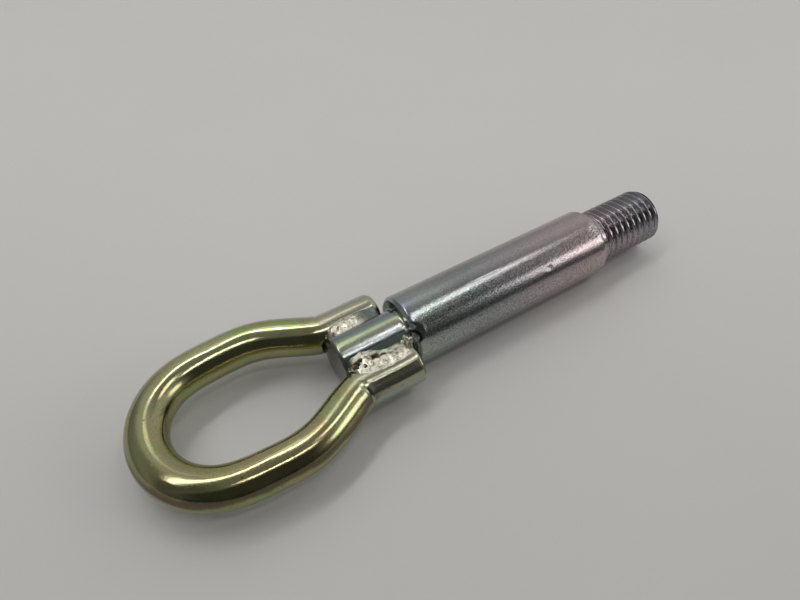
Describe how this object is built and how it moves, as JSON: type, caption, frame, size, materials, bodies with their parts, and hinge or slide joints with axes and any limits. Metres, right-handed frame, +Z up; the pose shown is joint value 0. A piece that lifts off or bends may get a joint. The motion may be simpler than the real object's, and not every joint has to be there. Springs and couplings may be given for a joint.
{
  "type": "tow eye",
  "caption": "Screw-in towing eye: a round steel shank with a threaded end, and a long eye bent from round bar whose legs are welded along the shank's stem.",
  "frame": {"origin": "on the shank's axis, at the shoulder behind the thread", "axes": "+X along the shank towards the threaded end, +Y across the eye, +Z up with the eye lying flat"},
  "size_m": [0.1777, 0.0526, 0.022],
  "materials": {
    "shank_plating": "zinc plated and passivated, silver with faint green and violet tints",
    "eye_plating": "zinc plated and yellow passivated, bright olive gold",
    "weld_plating": "rough weld metal under the same plating"
  },
  "bodies": {
    "root": {"shank": "shank_plating", "eye_loop": "eye_plating", "weld_top_left": "weld_plating", "weld_top_right": "weld_plating", "weld_bottom_left": "weld_plating", "weld_bottom_right": "weld_plating"}
  },
  "joints": []
}
